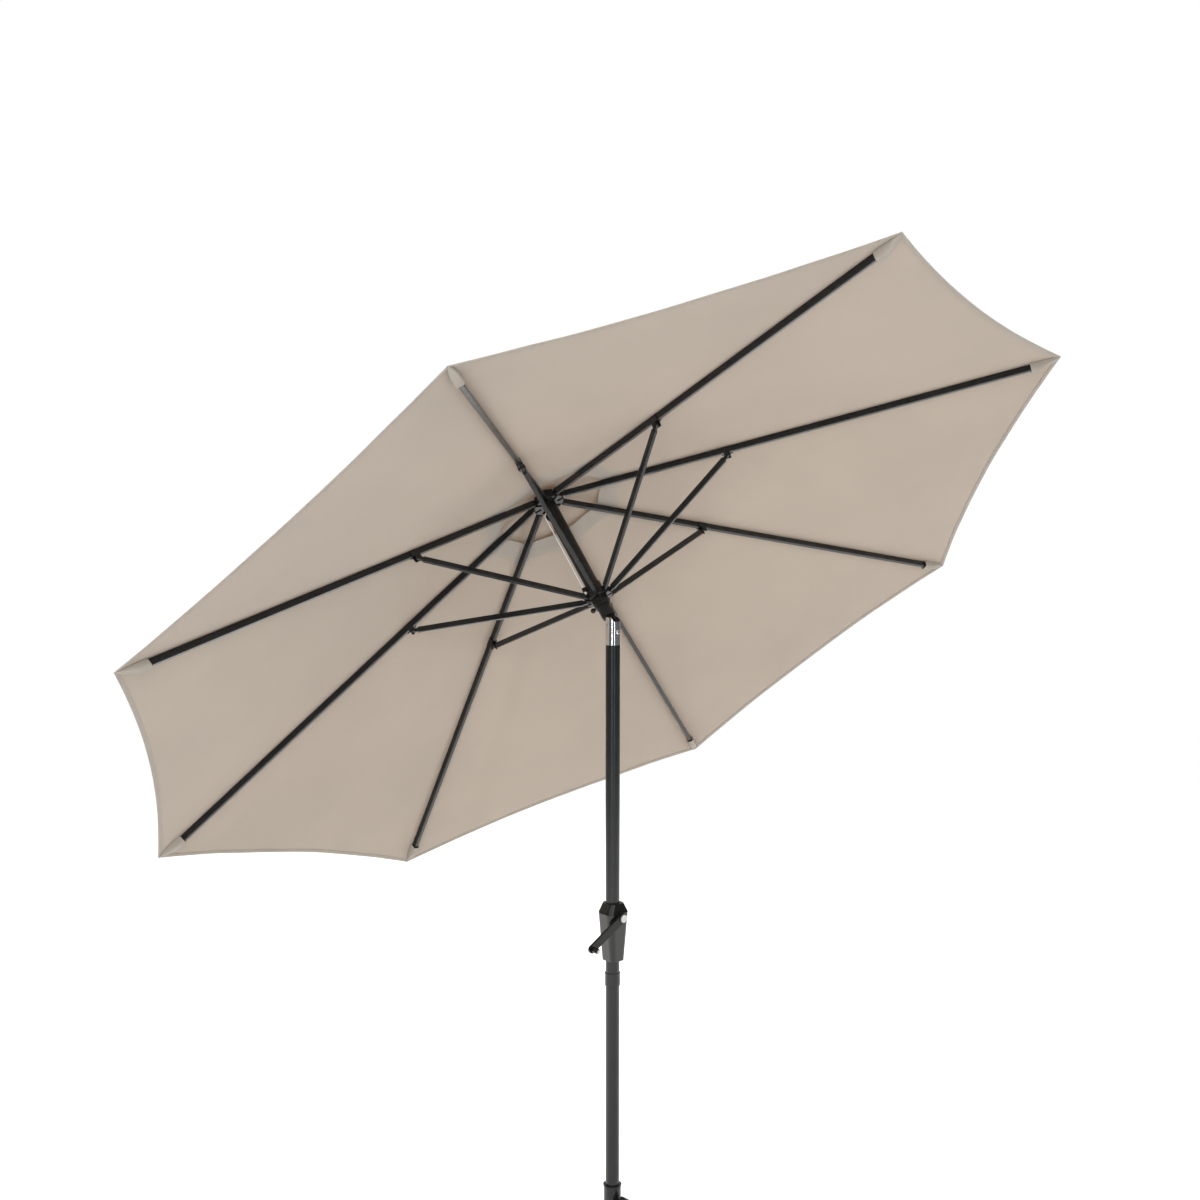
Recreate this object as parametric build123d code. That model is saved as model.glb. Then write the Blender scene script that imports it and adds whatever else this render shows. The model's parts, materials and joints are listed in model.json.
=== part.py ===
from build123d import *
from math import acos, atan, atan2, cos, degrees, hypot, radians, sin, tan
import os

# Patio umbrella with a round base. Millimetres, +Z up, origin on the floor under the pole.
# The crank and the tilt button face -Y. The canopy leans towards +Y.

# ---- driving dimensions ----
POLE_R = 19.0            # pole and mast tube, outside
POLE_WALL = 1.5
RUN_FIT = 0.08           # radial clearance of a running fit
SEAT = 0.02              # radial clearance of a seated fit
SOFT_GAP = 0.3           # clearance of fabric from what carries it

PIVOT_Z = 1930.0         # height of the tilt pivot above the floor
TILT = 42.0              # lean of the mast, degrees from upright
HUB_UP = 410.0           # rib pivots above the tilt pivot, along the mast
HUB_PIVOT_R = 35.0
RUNNER_UP = 87.0         # strut pivots above the tilt pivot, along the mast
RUNNER_PIVOT_R = 30.0
RUNNER_TRAVEL = 30.0     # how far the runner can drop before it meets the tilt joint

RIB_COUNT = 8
STAR_TURN = -1.5         # ribs and canopy, turned about the mast, degrees
RIB_LENGTH = 1320.0
RIB_SLOPE = 15.8         # degrees below the plane across the mast
RIB_W = 12.0
RIB_H = 18.0
RIB_WALL = 1.2
RIB_TONGUE = 8.0
STRUT_AT = 471.0         # bracket on the rib, from the rib's pivot
STRUT_DROP = 16.0        # bracket pivot below the rib's centre line
STRUT_W = 10.0
STRUT_H = 16.0
STRUT_TONGUE = 6.0
OPEN_PIVOT = 0.45        # radial clearance where a strut's pin passes the rib bracket
PIN_R = 2.5

CANOPY_REACH = 53.0      # corner of the fabric beyond the rib's end
CANOPY_T = 1.0
HEM_SAG = 34.0           # hem curves in between two ribs
VENT_R = 165.0           # vent opening, along a rib from the apex
VENT_CAP_R = 235.0
VENT_CAP_RISE = 14.0
GORE_GAP = 0.6           # between neighbouring gores

BASE_R = 240.0
PAD_T = 4.0
BASE_H = 58.0            # weight, above the pad
COVER_T = 1.5
SOCKET_TOP = 380.0
SOCKET_WALL = 2.5
SLEEVE_WALL = 2.2
FLANGE_R = 68.0
FLANGE_T = 6.0
BOLT_PCD = 100.0
BOLT_R = 4.0
CLAMP_Z = 335.0
CLAMP_R = 4.0

COLLAR_BOTTOM = 947.0    # joint between the lower and the upper pole
COLLAR_TOP = 984.0
COLLAR_R = 21.0
SNAP_Z = 925.0
SNAP_R = 4.0
SNAP_PRESS = 3.0

CRANK_Z = 1142.0
HOUSING_BOTTOM = 1019.0
HOUSING_SHOULDER = 1152.0
HOUSING_TOP = 1177.0
HOUSING_WALL = 2.6
HOUSING_HALF = 35.5      # half the width at the shoulder
HOUSING_FRONT = 32.0     # from the pole's centre, at the shoulder
HOUSING_SPLIT = 8.0      # the two shells meet at this y
AXLE_R = 4.0
DRUM_R = 9.0
DRUM_FLANGE_R = 13.5
DRUM_W = 14.0
ARM_LENGTH = 122.0
ARM_ANGLE = 211.0        # rest angle of the arm, degrees from +X towards +Z
ARM_W = 22.0
ARM_T = 7.0
ARM_FACE = 43.0          # outer face of the arm, from the pole's centre
AXLE_CAP_R = 10.5
KNOB_LENGTH = 18.0
KNOB_R = 7.5

TILT_TOP = 18.0          # chrome cheeks, above the pivot
TILT_FLOOR = 12.0        # floor of the slot, below the pivot
TILT_BOTTOM = 56.0       # end of the chrome housing, below the pivot
TILT_R = 19.4
TONGUE_X = 11.0
CHEEK_X = 11.3
TONGUE_R = 11.0
TILT_PIN_R = 3.5
NECK_Z = 20.5            # the mast starts here, above the pivot
BUTTON_DROP = 21.0       # button axis, below the pivot
BUTTON_R = 5.0
BUTTON_BACK = -15.0       # inner end of the tilt button
BUTTON_CUP = 4.5          # depth of the cup that its spring starts in
BUTTON_CUP_R = 4.0
COIL_TURNS = 6
COIL_START = -15.6
COIL_WIRE_R = 0.45
BUTTON_PRESS = 3.0

CORD_R = 1.5
CORD_AZ = 157.5          # side of the mast where the cord runs down outside, degrees
PULLEY_R = 12.5
PULLEY_UP = 362.0
PULLEY_W = 6.0

# ---- values worked out from them ----
POLE_IN = POLE_R - POLE_WALL
FLOOR_TOP = PAD_T + BASE_H
SLOPE = radians(RIB_SLOPE)
RUNNER_SKIRT = RUNNER_UP - 32.0
RUNNER_TOP = RUNNER_UP + 38.0
RUNNER_OUT = 22.5
CROWN_R = 38.0
HUB_R = 44.0
HUB_BOTTOM = HUB_UP - 13.0
HUB_TOP = HUB_UP + 11.0
MAST_TOP = HUB_TOP + 3.0
PANEL_FALL = sin(SLOPE) * tan(radians(180.0 / RIB_COUNT))
COVER_LIFT = RIB_H / 2 + RIB_W / 2 * PANEL_FALL + SOFT_GAP
APEX_UP = HUB_UP + HUB_PIVOT_R * tan(SLOPE) + COVER_LIFT / cos(SLOPE)
RIB_START = HUB_PIVOT_R / cos(SLOPE) + COVER_LIFT * tan(SLOPE)
CORNER_AT = RIB_START + RIB_LENGTH + CANOPY_REACH
PULLEY_OFF = PULLEY_R + CORD_R - 0.5

os.makedirs("parts", exist_ok=True)


# ---- helpers ----
def tube(outer, inner, low, high):
    """An upright tube, or a rod where inner is 0."""
    body = Pos(0, 0, (low + high) / 2) * Cylinder(outer, high - low)
    if inner > 0:
        body -= Pos(0, 0, (low + high) / 2) * Cylinder(inner, high - low + 2)
    return body


def rod_y(radius, front, back, x=0.0, z=0.0):
    """A round rod along Y between two y values."""
    return Pos(x, (front + back) / 2, z) * Rot(90, 0, 0) * Cylinder(radius, back - front)


def rod_x(radius, left, right, y=0.0, z=0.0):
    """A round rod along X between two x values."""
    return Pos((left + right) / 2, y, z) * Rot(0, 90, 0) * Cylinder(radius, right - left)


def block(x0, x1, y0, y1, z0, z1):
    return Pos((x0 + x1) / 2, (y0 + y1) / 2, (z0 + z1) / 2) * Box(x1 - x0, y1 - y0, z1 - z0)


def on_mast(shape):
    """Take a shape built around an upright mast to the leaning mast."""
    return Pos(0, 0, PIVOT_Z) * Rot(-TILT, 0, 0) * shape


def at_rib(k, shape):
    """Take a shape built in the rib's own plane, outwards along +X, to rib k."""
    return Rot(0, 0, rib_azimuth(k)) * shape


def rib_azimuth(k):
    return -90.0 + STAR_TURN + 360.0 / RIB_COUNT * k


def along_rib(shape):
    """Take a shape built along +X from the rib's pivot to the sloping rib."""
    return Pos(HUB_PIVOT_R, 0, HUB_UP) * Rot(0, RIB_SLOPE, 0) * shape


def save(name, shape):
    solids = shape.solids()
    shape = solids[0] if len(solids) == 1 else Compound(children=list(solids))
    shape.label = name
    export_step(shape, f"parts/{name}.step")


def bracket_point():
    """Pivot of the strut on the rib: distance from the mast's axis and height above the tilt pivot."""
    r = HUB_PIVOT_R + STRUT_AT * cos(SLOPE) - STRUT_DROP * sin(SLOPE)
    z = HUB_UP - STRUT_AT * sin(SLOPE) - STRUT_DROP * cos(SLOPE)
    return r, z


# ---- base ----
def make_base():
    save("base_pad", tube(BASE_R - 12, 0, 0, PAD_T))
    rim = 14.0
    weight = tube(BASE_R - 2 * COVER_T, 0, PAD_T, FLOOR_TOP)
    top_edge = weight.edges().filter_by(GeomType.CIRCLE).sort_by(Axis.Z)[-1]
    weight = fillet(top_edge, rim)
    for angle in range(45, 360, 90):
        x = BOLT_PCD / 2 * cos(radians(angle))
        y = BOLT_PCD / 2 * sin(radians(angle))
        weight -= Pos(x, y, FLOOR_TOP - 15) * Cylinder(BOLT_R + SEAT, 30.1)
    save("base_weight", weight)

    cover = tube(BASE_R, 0, PAD_T, FLOOR_TOP + COVER_T)
    cover_edge = cover.edges().filter_by(GeomType.CIRCLE).sort_by(Axis.Z)[-1]
    cover = fillet(cover_edge, rim + COVER_T)
    inner = tube(BASE_R - 2 * COVER_T + SEAT, 0, PAD_T - 1, FLOOR_TOP)
    inner_edge = inner.edges().filter_by(GeomType.CIRCLE).sort_by(Axis.Z)[-1]
    cover -= fillet(inner_edge, rim)
    cover -= Pos(0, 0, FLOOR_TOP) * Cylinder(FLANGE_R + 0.5, 10)
    save("base_cover", cover)


def make_socket():
    bore = POLE_R + RUN_FIT + SLEEVE_WALL + SEAT
    outer = bore + SOCKET_WALL
    socket = tube(outer, bore, FLOOR_TOP, SOCKET_TOP)
    socket += tube(FLANGE_R, bore, FLOOR_TOP, FLOOR_TOP + FLANGE_T)
    foot = tube(outer + 14, bore, FLOOR_TOP + FLANGE_T, FLOOR_TOP + FLANGE_T + 14)
    foot_edge = foot.edges().filter_by(GeomType.CIRCLE).sort_by(Axis.Z)[-2:]
    foot = chamfer(foot_edge.sort_by(SortBy.RADIUS)[-1], 13.5)
    socket += foot
    socket += rod_y(11, -outer - 9, -bore - 0.5, z=CLAMP_Z)
    socket -= tube(bore, 0, FLOOR_TOP - 1, SOCKET_TOP + 1)
    socket -= rod_y(CLAMP_R + RUN_FIT, -outer - 10, 0, z=CLAMP_Z)
    for angle in range(45, 360, 90):
        x = BOLT_PCD / 2 * cos(radians(angle))
        y = BOLT_PCD / 2 * sin(radians(angle))
        socket -= Pos(x, y, FLOOR_TOP + FLANGE_T / 2) * Cylinder(BOLT_R + 0.4, FLANGE_T + 1)
    save("socket_tube", socket)

    bolts = []
    for angle in range(45, 360, 90):
        x = BOLT_PCD / 2 * cos(radians(angle))
        y = BOLT_PCD / 2 * sin(radians(angle))
        seat = FLOOR_TOP + FLANGE_T
        bolt = Pos(x, y, (FLOOR_TOP - 24 + seat) / 2) * Cylinder(BOLT_R, seat - FLOOR_TOP + 24)
        head = extrude(Plane.XY.offset(seat) * Pos(x, y) * RegularPolygon(7.5, 6), 5.5)
        bolts.append(bolt + head)
    save("flange_bolts", Compound(children=bolts))

    sleeve = tube(bore - SEAT, POLE_R + RUN_FIT, FLOOR_TOP + FLANGE_T + 30, SOCKET_TOP)
    sleeve += tube(outer + 1.5, POLE_R + RUN_FIT, SOCKET_TOP, SOCKET_TOP + 4)
    sleeve -= rod_y(CLAMP_R + 0.6, -bore - 5, 0, z=CLAMP_Z)
    save("reducer_sleeve", sleeve)

    reach = outer + 10
    knob = rod_y(9, -reach - 22, -reach, z=CLAMP_Z)
    for k in range(5):
        angle = radians(90 + 72 * k)
        knob += rod_y(9, -reach - 22, -reach - 4, x=17 * cos(angle), z=CLAMP_Z + 17 * sin(angle))
    knob += rod_y(20, -reach - 19, -reach - 7, z=CLAMP_Z)
    knob += rod_y(CLAMP_R, -reach - 1, -POLE_R - 0.1, z=CLAMP_Z)
    save("clamp_knob", knob)


# ---- poles ----
def make_poles():
    bottom = FLOOR_TOP + 3
    split = (COLLAR_BOTTOM + COLLAR_TOP) / 2
    lower = tube(POLE_R, POLE_IN, bottom, split)
    lower -= rod_y(SNAP_R + RUN_FIT, 0, POLE_R + 1, z=SNAP_Z)
    foot = tube(POLE_R, 0, FLOOR_TOP, bottom)
    foot += tube(POLE_IN - SEAT, POLE_IN - 4, bottom, bottom + 25)
    save("lower_pole", Compound(children=[lower, foot]))

    collar = tube(COLLAR_R, POLE_R + SEAT, COLLAR_BOTTOM, COLLAR_TOP)
    collar = chamfer(collar.edges().filter_by(GeomType.CIRCLE).sort_by(SortBy.RADIUS)[-2:], 0.8)
    spigot = tube(POLE_IN - SEAT, POLE_IN - 2.0, SNAP_Z - 30, split + 60)
    spigot -= rod_y(SNAP_R + RUN_FIT, 0, POLE_R + 1, z=SNAP_Z)
    save("pole_joint", Compound(children=[collar, spigot]))

    upper = tube(POLE_R, POLE_IN, split, PIVOT_Z - TILT_BOTTOM)
    upper -= rod_y(AXLE_R + RUN_FIT + 0.2, -POLE_R - 1, POLE_R + 1, z=CRANK_Z)
    upper -= rod_y(DRUM_FLANGE_R + 1, -POLE_R - 1, -POLE_IN + 7, z=CRANK_Z)
    save("upper_pole", upper)

    snap = rod_y(SNAP_R, POLE_IN - 5.0, POLE_R + SNAP_PRESS + 1.5, z=SNAP_Z)
    snap = fillet(snap.edges().sort_by(Axis.Y)[-1], 2.0)
    snap += rod_y(SNAP_R + 2.5, POLE_IN - 6.5, POLE_IN - 4.5, z=SNAP_Z)
    save("snap_button", snap)
    leaf = block(-3, 3, POLE_IN - 10.8, POLE_IN - 9.8, SNAP_Z - 26, SNAP_Z + 12)
    leaf += block(-3, 3, POLE_IN - 10.8, POLE_IN - 2.5, SNAP_Z - 27, SNAP_Z - 26)
    save("return_springs", Compound(children=[leaf, *button_coils()]))


# ---- crank ----
def housing_section(z, half_x, front, back, corner):
    return Plane.XY.offset(z) * Pos(0, (back - front) / 2) * RectangleRounded(
        2 * half_x, front + back, corner)


def housing_body(inset):
    """Tapered body of the crank housing, shrunk by inset on every side."""
    low = housing_section(HOUSING_BOTTOM + inset, 23 - inset, 27 - inset, 23 - inset, 12 - inset)
    wide = housing_section(HOUSING_SHOULDER, HOUSING_HALF - inset, HOUSING_FRONT - inset,
                           27 - inset, 16 - inset)
    top = housing_section(HOUSING_TOP - inset, 23 - inset, 27 - inset, 22 - inset, 14 - inset)
    return loft([low, wide], ruled=True) + loft([wide, top], ruled=True)


def make_housing():
    hollow = housing_body(HOUSING_WALL)
    shell = housing_body(0.0)
    waist = shell.edges().filter_by(Plane.XY)
    waist = [e for e in waist if abs(e.center().Z - HOUSING_SHOULDER) < 0.1]
    shell = fillet(waist, 6.0)
    shell -= hollow
    shell -= tube(POLE_R + SEAT, 0, HOUSING_BOTTOM - 1, HOUSING_TOP + 1)
    shell -= rod_y(AXLE_R + RUN_FIT, -60, 0, z=CRANK_Z)
    for x, z in screw_places():
        post = rod_y(4.0, -18, HOUSING_SPLIT + 18, x=x, z=z) & housing_body(1.0)
        shell += post
        shell -= rod_y(1.5 + SEAT, -14, 40, x=x, z=z)
    front = shell & block(-60, 60, -60, HOUSING_SPLIT, HOUSING_BOTTOM - 5, HOUSING_TOP + 5)
    back = shell & block(-60, 60, HOUSING_SPLIT, 60, HOUSING_BOTTOM - 5, HOUSING_TOP + 5)
    for x, z in screw_places():
        back -= rod_y(3.0, HOUSING_SPLIT + 10, 60, x=x, z=z)
    save("crank_housing_front", front)
    save("crank_housing_back", back)
    screws = []
    for x, z in screw_places():
        screw = rod_y(1.5, -12, HOUSING_SPLIT + 10, x=x, z=z)
        head = rod_y(2.8, HOUSING_SPLIT + 10, HOUSING_SPLIT + 12, x=x, z=z)
        head -= block(x - 2, x + 2, HOUSING_SPLIT + 11, HOUSING_SPLIT + 13, z - 0.4, z + 0.4)
        screws.append(screw + head)
    save("housing_screws", Compound(children=screws))


def screw_places():
    side = HOUSING_HALF - 6.5
    return [(-side, HOUSING_SHOULDER - 8), (side, HOUSING_SHOULDER - 8)]


def make_crank():
    axle = rod_y(AXLE_R, -ARM_FACE, DRUM_W / 2 + 4, z=CRANK_Z)
    axle += rod_y(AXLE_CAP_R, -ARM_FACE - 4.5, -ARM_FACE, z=CRANK_Z)
    drum = rod_y(DRUM_R, -DRUM_W / 2, DRUM_W / 2, z=CRANK_Z)
    for y in (-DRUM_W / 2, DRUM_W / 2 - 1.5):
        drum += rod_y(DRUM_FLANGE_R, y, y + 1.5, z=CRANK_Z)
    drum -= rod_y(AXLE_R + SEAT, -20, 20, z=CRANK_Z)
    winding = rod_y(DRUM_R + 2 * CORD_R - 0.2, -5.3, 5.3, z=CRANK_Z)
    winding -= rod_y(DRUM_R + SEAT, -20, 20, z=CRANK_Z)
    save("cord_drum", Compound(children=[drum, winding]))

    spin = Pos(0, 0, CRANK_Z) * Rot(0, -ARM_ANGLE, 0)
    knob_end = -ARM_FACE - 4 - KNOB_LENGTH
    arm_y = -ARM_FACE + ARM_T / 2
    blade = Pos(ARM_LENGTH / 2, arm_y, 0) * Rot(90, 0, 0) * extrude(
        SlotCenterToCenter(ARM_LENGTH, ARM_W), ARM_T / 2, both=True)
    boss = rod_y(ARM_W / 2 + 2, -ARM_FACE, -ARM_FACE + 9, z=0)
    arm = blade + boss
    arm -= rod_y(AXLE_R + SEAT, -60, -20)
    arm += rod_y(7.5, -ARM_FACE - 2, -ARM_FACE + ARM_T, x=ARM_LENGTH)
    arm -= rod_y(3.0 + SEAT, -60, -20, x=ARM_LENGTH)
    save("crank_arm", spin * arm)
    stem = rod_y(3.0, knob_end - 1, -ARM_FACE + ARM_T + 1, x=ARM_LENGTH)
    stem += rod_y(5.0, knob_end - 3, knob_end - 0.4, x=ARM_LENGTH)
    save("crank_axle", Compound(children=[axle, spin * stem]))
    knob = rod_y(KNOB_R, knob_end, -ARM_FACE - 3, x=ARM_LENGTH)
    knob = fillet(knob.edges(), 2.5)
    knob -= rod_y(3.0 + RUN_FIT, -120, -20, x=ARM_LENGTH)
    save("crank_knob", spin * knob)


# ---- tilt joint ----
def make_tilt():
    """Chrome housing on the pole. Its two cheeks hold the knuckle of the mast."""
    housing = tube(TILT_R, 0, -TILT_BOTTOM, TILT_TOP)
    housing += tube(POLE_IN - SEAT, 0, -TILT_BOTTOM - 40, -TILT_BOTTOM)
    housing -= block(-CHEEK_X, CHEEK_X, -15.0, 40, -TILT_FLOOR, TILT_TOP + 5)
    housing -= block(-CHEEK_X, CHEEK_X, -40, 40, 7.0, TILT_TOP + 5)
    crown = rod_x(TILT_TOP, -30, 30) + block(-30, 30, -30, 30, -200, 0)
    crown += block(-CHEEK_X, CHEEK_X, -30, -10, -10, 7)
    housing &= crown
    housing -= tube(3.5, 0, -200, 0)
    housing -= rod_x(TILT_PIN_R + SEAT, -30, 30)
    housing -= rod_y(BUTTON_R + RUN_FIT, -30, -7, z=-BUTTON_DROP)
    save("tilt_housing", Pos(0, 0, PIVOT_Z) * housing)

    pins = []
    for side in (-1, 1):
        pin = rod_x(TILT_PIN_R, 4.0, 18.6)
        pin = pin if side > 0 else mirror(pin, Plane.YZ)
        pins.append(Pos(0, 0, PIVOT_Z) * pin)
    save("tilt_pins", Compound(children=pins))

    knuckle = rod_x(TONGUE_R, -TONGUE_X, TONGUE_X)
    knuckle += block(-TONGUE_X, TONGUE_X, -TONGUE_R, TONGUE_R, 0, NECK_Z + 1)
    knuckle -= block(-3.2, 3.2, -30, 30, -30, NECK_Z - 5)
    knuckle -= rod_x(TILT_PIN_R + RUN_FIT, -30, 30)
    knuckle += tube(POLE_IN - SEAT, 0, NECK_Z, NECK_Z + 45)
    knuckle -= tube(3.2, 0, 0, NECK_Z + 50)
    save("tilt_knuckle", on_mast(knuckle))

    z = PIVOT_Z - BUTTON_DROP
    button = rod_y(BUTTON_R, -TILT_R - BUTTON_PRESS - 0.6, BUTTON_BACK, z=z)
    button -= rod_y(BUTTON_CUP_R, BUTTON_BACK - BUTTON_CUP, BUTTON_BACK + 1, z=z)
    button = fillet(button.edges().sort_by(Axis.Y)[0], 1.5)
    button += rod_y(2.0, -15.5, -7 - BUTTON_PRESS - 0.5, z=z)
    save("tilt_button", button)


def button_coils():
    """Turns of the coil spring that starts in the tilt button's cup and ends on the tube's inner wall."""
    pitch = (-7.6 - COIL_START) / (COIL_TURNS - 1)
    coils = []
    for k in range(COIL_TURNS):
        place = Pos(0, COIL_START + pitch * k, PIVOT_Z - BUTTON_DROP) * Rot(90, 0, 0)
        coils.append(place * Torus(BUTTON_CUP_R - COIL_WIRE_R - 0.35, COIL_WIRE_R))
    return coils


# ---- mast, runner and hub ----
def star_slots(width, inner, outer, low, high, rows=RIB_COUNT):
    slots = []
    for k in range(rows):
        slots.append(at_rib(k, block(inner, outer, -width / 2, width / 2, low, high)))
    return slots


def star_pins(radius, pivot_r, pivot_z, half):
    pins = []
    for k in range(RIB_COUNT):
        pins.append(at_rib(k, rod_y(radius, -half, half, x=pivot_r, z=pivot_z)))
    return pins


def cord_side(shape):
    return Rot(0, 0, CORD_AZ) * shape


def make_mast():
    mast = tube(POLE_R, POLE_IN, NECK_Z, MAST_TOP)
    slot_low = PULLEY_UP - PULLEY_R - 5
    slot_high = PULLEY_UP + PULLEY_R + 6
    mast -= cord_side(block(5, 30, -4.0, 4.0, slot_low, slot_high))
    mast -= cord_side(rod_y(2.5 + SEAT, -30, 30, x=PULLEY_OFF, z=PULLEY_UP))
    save("mast_tube", on_mast(mast))
    pin_half = (POLE_R ** 2 - PULLEY_OFF ** 2) ** 0.5 - 0.6
    pin = cord_side(rod_y(2.5, -pin_half, pin_half, x=PULLEY_OFF, z=PULLEY_UP))
    pins = star_pins(PIN_R, HUB_PIVOT_R, HUB_UP, 9.5)
    save("mast_pins", on_mast(Compound(children=[pin, *pins])))
    wheel = rod_y(PULLEY_R, -PULLEY_W / 2, PULLEY_W / 2, x=PULLEY_OFF, z=PULLEY_UP)
    groove = Pos(PULLEY_OFF, 0, PULLEY_UP) * Rot(90, 0, 0) * Torus(PULLEY_R + 0.9, CORD_R + 0.3)
    wheel -= groove
    wheel -= rod_y(2.5 + RUN_FIT, -20, 20, x=PULLEY_OFF, z=PULLEY_UP)
    save("pulley", on_mast(cord_side(wheel)))


def make_runner():
    skirt = tube(RUNNER_OUT, POLE_R + RUN_FIT, RUNNER_SKIRT, RUNNER_TOP)
    crown = tube(CROWN_R, POLE_R + RUN_FIT, RUNNER_UP - 9, RUNNER_UP + 11)
    crown = chamfer(crown.edges().filter_by(GeomType.CIRCLE).sort_by(SortBy.RADIUS)[-2:], 2.0)
    runner = skirt + crown
    for slot in star_slots(STRUT_TONGUE + 0.8, RUNNER_OUT + 1, CROWN_R + 5, RUNNER_UP - 20, RUNNER_UP + 20):
        runner -= slot
    for pin in star_pins(PIN_R + SEAT, RUNNER_PIVOT_R, RUNNER_UP, 8.0):
        runner -= pin
    eye = cord_side(block(RUNNER_OUT - 2, RUNNER_OUT + 9, -4, 4, RUNNER_TOP - 12, RUNNER_TOP))
    eye -= tube(POLE_R + 1, 0, RUNNER_TOP - 30, RUNNER_TOP + 30)
    runner += eye
    runner -= cord_side(Pos(PULLEY_OFF + PULLEY_R + CORD_R, 0, RUNNER_TOP) * Cylinder(CORD_R + SEAT, 60))
    save("runner", on_mast(runner))
    save("runner_pins", on_mast(Compound(children=star_pins(PIN_R, RUNNER_PIVOT_R, RUNNER_UP, 7.5))))
    stud = Rot(0, 0, 157.5 - 45) * (rod_x(3.0, RUNNER_OUT - 1, RUNNER_OUT + 6, z=RUNNER_SKIRT + 9))
    ball = Rot(0, 0, 157.5 - 45) * (Pos(RUNNER_OUT + 10, 0, RUNNER_SKIRT + 9) * Sphere(7.0))
    hook = (stud + ball) - tube(RUNNER_OUT, 0, RUNNER_SKIRT - 20, RUNNER_TOP)
    save("runner_knob", on_mast(hook))


def make_hub():
    hub = tube(HUB_R, POLE_R + SEAT, HUB_BOTTOM, HUB_TOP)
    hub = chamfer(hub.edges().filter_by(GeomType.CIRCLE).sort_by(SortBy.RADIUS)[-2:], 2.0)
    for slot in star_slots(RIB_TONGUE + 0.8, POLE_R + 6, HUB_R + 5, HUB_BOTTOM - 5, HUB_TOP + 5):
        hub -= slot
    for pin in star_pins(PIN_R + SEAT, HUB_PIVOT_R, HUB_UP, 10.0):
        hub -= pin
    save("hub", on_mast(hub))

    cap_top = APEX_UP + VENT_CAP_RISE
    cap_fall = POLE_R * tan(SLOPE) / cos(radians(180.0 / RIB_COUNT))
    plug = tube(POLE_R, 0, MAST_TOP, cap_top - CANOPY_T - SOFT_GAP - cap_fall)
    plug += tube(POLE_IN - SEAT, POLE_IN - 4, HUB_BOTTOM + 6, MAST_TOP)
    plug += tube(6.0, 0, MAST_TOP, cap_top + 6)
    save("mast_cap", on_mast(plug))
    knob = Pos(0, 0, cap_top + 19) * Sphere(17.0)
    knob += tube(15.0, 0, cap_top + SOFT_GAP, cap_top + 8)
    knob -= tube(6.0 + SEAT, 0, cap_top - 10, cap_top + 6)
    knob -= block(-40, 40, -40, 40, cap_top - 60, cap_top + SOFT_GAP)
    save("finial", on_mast(knob))


# ---- ribs and struts ----
def hollow_bar(width, height, wall, start, end):
    """A rectangular tube along +X with rounded long edges."""
    outer = Plane.YZ.offset(start) * RectangleRounded(width, height, 2.5)
    inner = Plane.YZ.offset(start) * RectangleRounded(width - 2 * wall, height - 2 * wall, 1.3)
    return extrude(outer, end - start) - extrude(inner, end - start)


def flat_eye(thickness, radius, hole, start, width, height):
    """A flat tongue along +X, with a round eye at the origin and a plug that fills the tube's end."""
    eye = rod_y(radius, -thickness / 2, thickness / 2)
    eye += block(0, start, -thickness / 2, thickness / 2, -radius, radius)
    half_w = width / 2 - RIB_WALL
    half_h = height / 2 - RIB_WALL
    eye += block(start, start + 22, -half_w, half_w, -half_h, half_h)
    return eye - rod_y(hole, -thickness, thickness)


def rib_shape():
    start = 16.0
    bar = hollow_bar(RIB_W, RIB_H, RIB_WALL, start, RIB_LENGTH - 4)
    rib = bar + flat_eye(RIB_TONGUE, 6.5, PIN_R + RUN_FIT, start, RIB_W, RIB_H)
    ear = block(STRUT_AT - 16, STRUT_AT + 16, RIB_W / 2, RIB_W / 2 + 2, -STRUT_DROP - 6.5, 7)
    ear -= block(STRUT_AT - 20, STRUT_AT - 8, 0, 20, -40, -RIB_H / 2 - 1)
    ear -= block(STRUT_AT + 8, STRUT_AT + 20, 0, 20, -40, -RIB_H / 2 - 1)
    ear -= rod_y(PIN_R + OPEN_PIVOT, 0, 20, x=STRUT_AT, z=-STRUT_DROP)
    rib += ear + mirror(ear, Plane.XZ)
    cap = block(RIB_LENGTH - 4, RIB_LENGTH, -RIB_W / 2, RIB_W / 2, -RIB_H / 2, RIB_H / 2)
    cap += block(RIB_LENGTH - 24, RIB_LENGTH - 4, -RIB_W / 2 + RIB_WALL + SEAT,
                 RIB_W / 2 - RIB_WALL - SEAT, -RIB_H / 2 + RIB_WALL + SEAT, RIB_H / 2 - RIB_WALL - SEAT)
    return rib, cap


def strut_shape():
    """Strut along +X from its runner pivot, in its own line."""
    r, z = bracket_point()
    length = hypot(r - RUNNER_PIVOT_R, z - RUNNER_UP)
    bar = hollow_bar(STRUT_W, STRUT_H, RIB_WALL, 15.0, length - 15.0)
    near = flat_eye(STRUT_TONGUE, 5.5, PIN_R + RUN_FIT, 15.0, STRUT_W, STRUT_H)
    far = flat_eye(STRUT_TONGUE, 5.0, PIN_R + SEAT, 15.0, STRUT_W, STRUT_H)
    far = Pos(length, 0, 0) * Rot(0, 0, 180) * far
    pin = rod_y(PIN_R, -RIB_W / 2 - 3, RIB_W / 2 + 3, x=length)
    pin += rod_y(PIN_R + 1.8, RIB_W / 2 + 2.3, RIB_W / 2 + 4, x=length)
    pin += rod_y(PIN_R + 1.8, -RIB_W / 2 - 4, -RIB_W / 2 - 2.3, x=length)
    return bar + near + far, pin


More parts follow.
